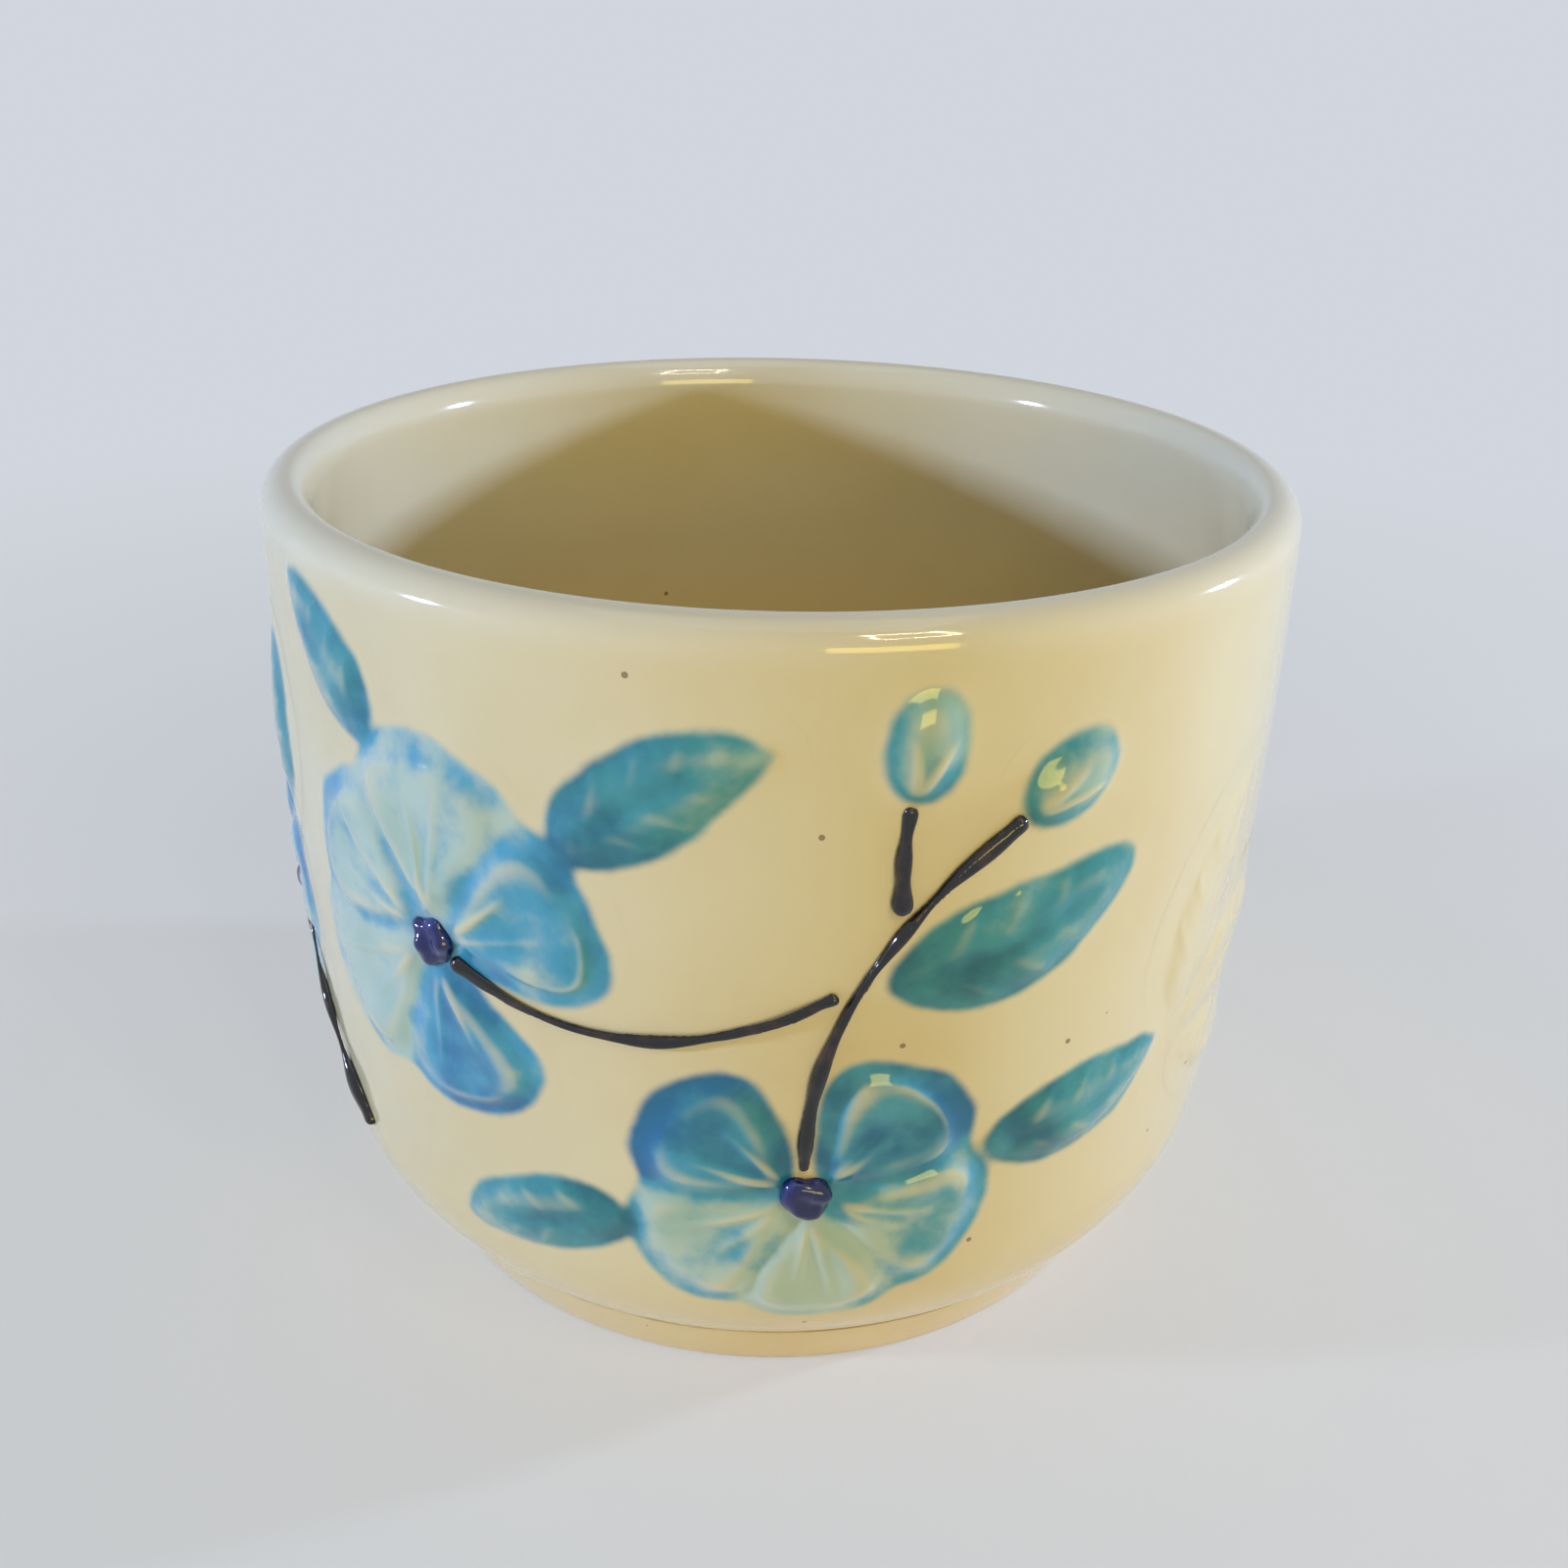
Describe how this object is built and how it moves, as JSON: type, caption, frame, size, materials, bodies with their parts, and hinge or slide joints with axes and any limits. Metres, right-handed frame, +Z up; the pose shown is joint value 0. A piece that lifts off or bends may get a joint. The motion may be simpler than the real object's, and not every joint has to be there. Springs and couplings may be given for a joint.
{
  "type": "ceramic planter",
  "caption": "Small round table-top planter in glazed ceramic, with a rounded shoulder, tapered foot ring, soft lip and raised painted blossoms and leaves on its wall.",
  "frame": {"origin": "on the pot's axis, in the plane that the foot ring stands on", "axes": "+Z up the pot's axis; the painted front of the wall faces -Y, between -Y and -X"},
  "size_m": [0.1368, 0.1365, 0.109],
  "materials": {
    "ivory_glaze": "glossy ivory glaze",
    "blue_underglaze": "sky blue and celadon underglaze paint below a clear gloss",
    "teal_underglaze": "teal underglaze paint below a clear gloss",
    "celadon_underglaze": "pale celadon underglaze paint below a clear gloss",
    "navy_underglaze": "navy dab below a clear gloss",
    "black_slip": "trailed black slip below a clear gloss"
  },
  "bodies": {
    "root": {"bowl": "ivory_glaze", "foot_ring": "ivory_glaze", "lower_blossom_centre": "navy_underglaze", "lower_blossom_petal_1": "blue_underglaze", "lower_blossom_petal_2": "blue_underglaze", "lower_blossom_petal_3": "blue_underglaze", "lower_blossom_petal_4": "blue_underglaze", "lower_blossom_petal_5": "blue_underglaze", "lower_left_leaf": "teal_underglaze", "lower_right_leaf": "teal_underglaze", "main_bud": "celadon_underglaze", "main_leaf": "teal_underglaze", "main_stem": "black_slip", "plain_leaf_1": "ivory_glaze", "plain_leaf_2": "ivory_glaze", "plain_leaf_3": "ivory_glaze", "side_blossom_centre": "navy_underglaze", "side_blossom_petal_1": "blue_underglaze", "side_blossom_petal_2": "blue_underglaze", "side_blossom_petal_3": "blue_underglaze", "side_blossom_petal_4": "blue_underglaze", "side_blossom_petal_5": "blue_underglaze", "side_leaf": "teal_underglaze", "side_stem": "black_slip", "twig": "black_slip", "twig_bud": "celadon_underglaze", "upper_blossom_centre": "navy_underglaze", "upper_blossom_petal_1": "blue_underglaze", "upper_blossom_petal_2": "blue_underglaze", "upper_blossom_petal_3": "blue_underglaze", "upper_blossom_petal_4": "blue_underglaze", "upper_blossom_petal_5": "blue_underglaze", "upper_left_leaf": "teal_underglaze", "upper_right_leaf": "teal_underglaze", "upper_stem": "black_slip"}
  },
  "joints": []
}
